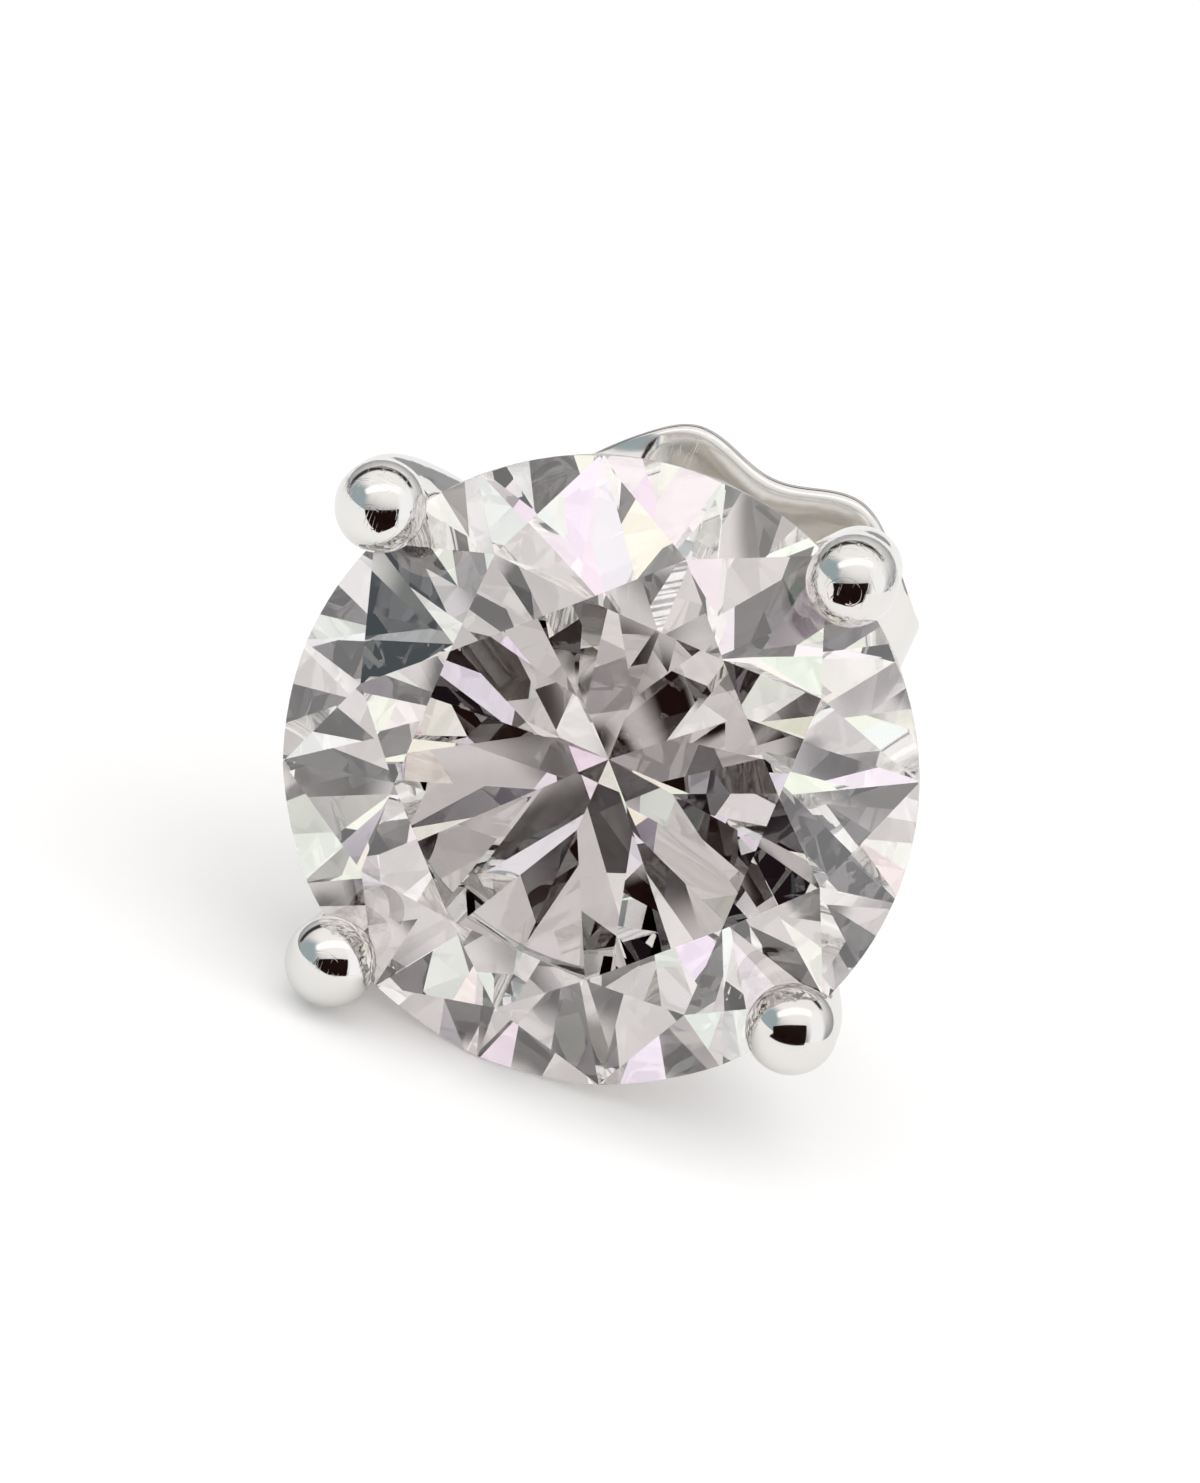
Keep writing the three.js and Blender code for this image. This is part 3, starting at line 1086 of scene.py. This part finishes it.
    def build(self) -> bpy.types.Object:
        """Builds the back as one solid with its post hole, and dresses it.

        Returns:
            The back.
        """
        hole = self.post / 2 + FIT_GAP
        shells = [self.strip_shell(), self.collar_shell(hole)]
        piece = fused("butterfly_clutch", shells, [self.bore_shell(hole)])
        carry(piece, self.axes, self.turn, self.front_z)
        smooth_shaded(piece, self.crease)
        piece.data.materials.clear()
        piece.data.materials.append(self.finish)
        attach(piece, Body.BACK.value)
        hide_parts("butterfly_back")
        return piece


# ---- studio -------------------------------------------------------------------------------------


@dataclass(frozen=True)
class Card:
    """A card in the studio, far enough off to be a patch of the sky.

    Its place is counted from the camera's direction, right and up across the view, in degrees. Width and
    height are half angles in degrees, and softness is how far its edge fades.
    """

    right: float
    up: float
    width: float
    height: float
    softness: float
    colour: Colour


@dataclass
class Studio:
    """Floor, sky, dark flag and camera. Refracted rays see painted light and shade: mottled patches on the
    floor and a mottled glow on the flag. Mirrors see the floor in a painted darker grey.
    """

    axes: StudAxes
    tilt: float = 14.0  # rise of the view over the stone's own, in degrees
    side: float = -4.0  # turn of the view to the stone's side, in degrees
    roll: float = 20.3  # turn of the camera about the view, in degrees
    distance: float = 0.09
    frame_height: float = 0.0150  # height of the view level with the stone, in metres
    aim_up: float = 0.0003  # how far above the girdle's middle the camera aims
    sensor: float = 36.0
    clip: tuple[float, float] = (0.005, 5.0)
    floor_size: float = 1.2
    paper_greys: tuple[float, float] = (0.95, 0.97)
    paper_roughness: float = 0.7
    fibre_noise: float = 900.0
    fibre_strength: float = 0.05
    fibre_depth: float = 0.00002
    # painted light and shade: mottled floor tones that only refracted rays show
    refracted_floor_painted_shade: Colour = (0.30, 0.27, 0.27)
    refracted_floor_painted_light: Colour = (0.93, 0.90, 0.89)
    floor_patches: float = 110.0
    flag_distance: float = 0.014
    flag_half_width: float = 0.90  # half width of the flag, one away from the stone
    flag_top: float = 0.03  # top of the flag, one away from the stone
    flag_bottom: float = -1.15
    flag_clearance: float = 0.0001  # how far the flag stays above the floor
    flag_columns: int = 12
    flag_rows: int = 24
    flag_colour: Colour = (0.012, 0.005, 0.004)
    # painted glow: mottled light that the flag gives off to refracted rays only
    painted_flag_glow_low: Colour = (0.0, 0.0, 0.0)
    painted_flag_glow_high: Colour = (0.66, 0.62, 0.61)
    flag_patches: float = 300.0
    flag_patch_start: float = 0.48
    sky_turn: tuple[float, float] = (-0.1, 0.85)  # heights between which the low sky turns into the high one
    card_fade: float = 0.05  # cosine to a card's middle below which the card fades out
    low_sky: Colour = (0.46, 0.46, 0.48)
    high_sky: Colour = (1.42, 1.40, 1.38)
    mirrored: float = 0.66  # share of the sky's light that metal mirrors
    mirrored_floor_painted_shade: float = 0.8  # painted shade: the darker grey that the floor shows only in a mirror
    room_low: Colour = (0.012, 0.008, 0.011)  # darkest tone of the sky that refracted rays show
    room_high: Colour = (1.0, 0.965, 0.95)
    patch_start: float = 0.44
    patch_edge: float = 0.07  # how far the noise rises from a patch's edge to its middle
    room_patches: float = 3.1
    tint_noise: float = 2.3
    tinting: float = 0.4  # how strongly the tones are tinted
    bounces: int = 24
    glass_bounces: int = 24
    mirror_bounces: int = 12
    cards: tuple[Card, ...] = (
        Card(-62, 18, 26, 30, 9, (0.50, 0.60, 0.64)),
        Card(70, 0, 22, 40, 8, (1.5, 1.5, 1.52)),
        Card(-95, -10, 24, 24, 10, (0.62, 0.56, 0.66)),
        Card(10, 48, 40, 9, 5, (1.9, 1.88, 1.84)),
        Card(0, 112, 55, 9, 4, (0.07, 0.06, 0.06)),
        Card(180, 8, 30, 6, 3, (0.10, 0.09, 0.09)),
    )

    def view_direction(self) -> Vector:
        """The direction from the stud to the camera: the stone's own rise and turn, and the view's.

        Returns:
            A vector of unit length.
        """
        rise = math.asin(self.axes.face.z) + math.radians(self.tilt)
        turn = math.radians(self.side)
        level = math.cos(rise)
        return Vector((-math.sin(turn) * level, -math.cos(turn) * level, math.sin(rise)))

    def camera_axes(self) -> Matrix:
        """The camera's right, up and backward directions.

        Returns:
            A matrix with the directions as its columns.
        """
        back = self.view_direction()
        right = Vector((0, 0, 1)).cross(back).normalized()
        up = back.cross(right)
        level = Matrix((right, up, back)).transposed()
        return level @ Matrix.Rotation(math.radians(self.roll), 3, "Z")

    def camera(self) -> None:
        """Puts the camera at the angle of view, rolled as the stud is seen."""
        data = bpy.data.cameras.new("camera")
        data.sensor_width = self.sensor
        data.lens = self.sensor * self.distance / self.frame_height
        data.clip_start, data.clip_end = self.clip
        camera = bpy.data.objects.new("camera", data)
        axes = self.camera_axes()
        target = self.axes.origin + axes.col[1] * self.aim_up
        camera.matrix_world = Matrix.Translation(target + axes.col[2] * self.distance) @ axes.to_4x4()
        bpy.context.scene.collection.objects.link(camera)
        bpy.context.scene.camera = camera

    def floor(self) -> None:
        """Lays the pale floor: fine matt paper, painted a darker grey for mirrors and painted in mottled
        patches of light and shade for rays that have passed through the stone.
        """
        half = self.floor_size / 2
        corners = np.array([[-half, -half, 0], [half, -half, 0], [half, half, 0], [-half, half, 0]])
        floor = mesh_object("floor", (corners, [[0, 1, 2, 3]]))
        material, nodes, shader = blank_material("pale_paper")
        place = nodes.add("TexCoord").outputs["Object"]
        fibres = nodes.add("TexNoise", Vector=place, Scale=self.fibre_noise, Detail=4.0).outputs[0]
        paper = nodes.mix(fibres, *(grey(value) for value in self.paper_greys))
        path = nodes.add("LightPath").outputs
        # painted shade: mirrored rays see the paper as a flat darker grey
        paper = nodes.mix(path["Is Glossy Ray"], paper, grey(self.mirrored_floor_painted_shade))
        # painted light and shade: rays that have passed through the stone see the floor in dark and light
        # patches
        mask = self.patches(nodes, place, self.floor_patches, self.patch_start)
        painted_patches = nodes.mix(mask, solid(self.refracted_floor_painted_shade), solid(self.refracted_floor_painted_light))
        nodes.feed(shader.inputs["Base Color"], nodes.mix(path["Is Transmission Ray"], paper, painted_patches))
        shader.inputs["Roughness"].default_value = self.paper_roughness
        bump = nodes.add("Bump", Height=fibres, Strength=self.fibre_strength, Distance=self.fibre_depth)
        nodes.feed(shader.inputs["Normal"], bump.outputs[0])
        floor.data.materials.append(material)

    def flag(self) -> None:
        """Stands a dark flag below the lens, for the metal and the stone to mirror.

        It fills a rectangle of the view from the stone: each point lies flag_distance ahead along its own
        line of sight, or on the floor where that line meets it sooner. Only reflections and refractions
        show it, and it takes no light from the floor. To refracted rays it gives off a painted glow in
        mottled patches, and to other rays it stays dark.
        """
        rows, columns = self.flag_rows + 1, self.flag_columns + 1
        across, up = np.meshgrid(
            np.linspace(-self.flag_half_width, self.flag_half_width, columns),
            np.linspace(self.flag_bottom, self.flag_top, rows),
        )
        sight = np.stack([across, up, np.ones_like(up)], -1).reshape(-1, 3) @ np.array(self.camera_axes()).T
        eye = np.array(self.axes.origin)
        fall = np.clip(-sight[:, 2], 1e-9, None)
        length = np.minimum(self.flag_distance, (eye[2] - self.flag_clearance) / fall)
        quads = grid_faces(rows, columns).reshape(rows - 1, columns, 4)[:, :-1].reshape(-1, 4)
        flag = mesh_object("flag", (eye + sight * length[:, None], quads.tolist()))
        material, nodes, shader = blank_material("dark_flag")
        place = nodes.add("TexCoord").outputs["Object"]
        through = nodes.add("LightPath").outputs["Is Transmission Ray"]
        mask = self.patches(nodes, place, self.flag_patches, self.flag_patch_start)
        painted_glow = nodes.mix(mask, solid(self.painted_flag_glow_low), solid(self.painted_flag_glow_high))
        shader.inputs["Base Color"].default_value = solid(self.flag_colour)
        shader.inputs["Specular IOR Level"].default_value = 0.0
        # painted glow: the flag emits mottled light to refracted rays and none to other rays
        nodes.feed(shader.inputs["Emission Color"], nodes.mix(through, grey(0.0), painted_glow))
        shader.inputs["Emission Strength"].default_value = 1.0
        flag.data.materials.append(material)
        flag.visible_camera = False
        flag.visible_diffuse = False
        flag.visible_shadow = False

    def patches(self, nodes: Nodes, place: Socket, scale: float, start: float) -> Socket:
        """Broad soft patches, which keep neighbouring facets of the stone apart in tone.

        Args:
            nodes: the tree's node adder.
            place: where on the surface, or which way, each point lies.
            scale: how many patches there are to a unit of length.
            start: the noise's value at which a patch starts to show.

        Returns:
            A mask from 0 to 1.
        """
        noise = nodes.add("TexNoise", Vector=place, Scale=scale, Detail=1.0)
        return nodes.ramp(noise.outputs[0], start, start + self.patch_edge, 0.0, 1.0)

    def room(self, nodes: Nodes, ray: Socket) -> Socket:
        """What the stone shows of the sky: broad patches from grey to white, each with a slight tint.

        Args:
            nodes: the world's node adder.
            ray: the direction of each ray.

        Returns:
            The colour.
        """
        tint = nodes.add("TexNoise", Vector=ray, Scale=self.tint_noise, Detail=0.0).outputs["Color"]
        least = 1 - self.tinting / 2
        spread = nodes.vector("MULTIPLY_ADD", tint, (self.tinting,) * 3, (least,) * 3).outputs[0]
        mask = self.patches(nodes, ray, self.room_patches, self.patch_start)
        tone = nodes.mix(mask, solid(self.room_low), solid(self.room_high))
        return nodes.mix(1.0, tone, spread, "MULTIPLY")

    def carded(self, nodes: Nodes, ray: Socket, colour: Socket, card: Card) -> Socket:
        """The sky's colour with a card in front of it.

        Args:
            nodes: the world's node adder.
            ray: the direction of each ray.
            colour: the sky's colour without the card.
            card: the card.

        Returns:
            The colour with the card.
        """
        view = self.camera_axes()
        facing = (
            Matrix.Rotation(math.radians(card.right), 3, view.col[1])
            @ Matrix.Rotation(math.radians(-card.up), 3, view.col[0])
            @ view.col[2]
        )
        right = view.col[1].cross(facing).normalized()
        ahead = nodes.vector("DOT_PRODUCT", ray, facing).outputs["Value"]
        inside = nodes.ramp(ahead, 0.0, self.card_fade, 0.0, 1.0)
        for axis, half in ((right, card.width), (facing.cross(right), card.height)):
            off = nodes.math("ABSOLUTE", nodes.vector("DOT_PRODUCT", ray, axis).outputs["Value"])
            angle = nodes.math("DEGREES", nodes.math("ARCTAN2", off, ahead))
            edge = nodes.ramp(angle, half - card.softness, half + card.softness, 1.0, 0.0)
            inside = nodes.math("MULTIPLY", inside, edge)
        return nodes.mix(inside, colour, solid(card.colour))

    def sky(self) -> None:
        """Lights the scene with a soft sky, bright overhead and grey low down, with cards in it."""
        world = bpy.data.worlds.new("studio")
        bpy.context.scene.world = world
        world.use_nodes = True
        world.node_tree.nodes.clear()
        nodes = Nodes(world.node_tree)
        ray = nodes.add("TexCoord").outputs["Generated"]
        height = nodes.add("SeparateXYZ", Vector=ray).outputs["Z"]
        share = nodes.ramp(height, *self.sky_turn, 0.0, 1.0)
        colour = nodes.mix(share, solid(self.low_sky), solid(self.high_sky))
        for card in self.cards:
            colour = self.carded(nodes, ray, colour, card)
        path = nodes.add("LightPath").outputs
        dimmed = nodes.mix(1.0, colour, grey(self.mirrored), "MULTIPLY")
        colour = nodes.mix(path["Is Glossy Ray"], colour, dimmed)
        colour = nodes.mix(path["Is Transmission Ray"], colour, self.room(nodes, ray))
        colour = nodes.mix(path["Is Camera Ray"], colour, grey(1.0))
        background = nodes.add("Background", Color=colour, Strength=1.0)
        out = nodes.add("OutputWorld")
        nodes.feed(out.inputs["Surface"], background.outputs[0])
        world.cycles.sampling_method = "MANUAL"
        world.cycles.sample_map_resolution = 512

    def build(self) -> None:
        """Builds the studio and sets how light and tones are handled."""
        self.floor()
        self.flag()
        self.sky()
        self.camera()
        scene = bpy.context.scene
        scene.view_settings.view_transform = "Standard"
        scene.view_settings.exposure = 0.0
        scene.cycles.max_bounces = self.bounces
        scene.cycles.transmission_bounces = self.glass_bounces
        scene.cycles.glossy_bounces = self.mirror_bounces
        scene.cycles.transparent_max_bounces = 8
        scene.cycles.caustics_refractive = True
        scene.cycles.caustics_reflective = True
        scene.cycles.blur_glossy = 0.0


# ---- assembly -----------------------------------------------------------------------------------


def main() -> None:
    """Builds the pieces and the studio."""
    logging.basicConfig(level=logging.INFO, format="%(name)s: %(message)s")
    axes = StudAxes.from_frame(frame)
    marks = handling_marks()
    stone = Brilliant(axes, CutDiamond().build(marks))
    pieces = [
        stone.build(),
        Setting(axes, stone, PolishedGold("basket_gold").build(marks)).build(),
        ButterflyBack(axes, PolishedGold("clutch_gold", roughness=0.09, marks=0.8).build(marks)).build(),
    ]
    for piece in pieces:
        log.info("%s: %d faces", piece.name, len(piece.data.polygons))
    Studio(axes).build()


if __name__ == "__main__":
    main()
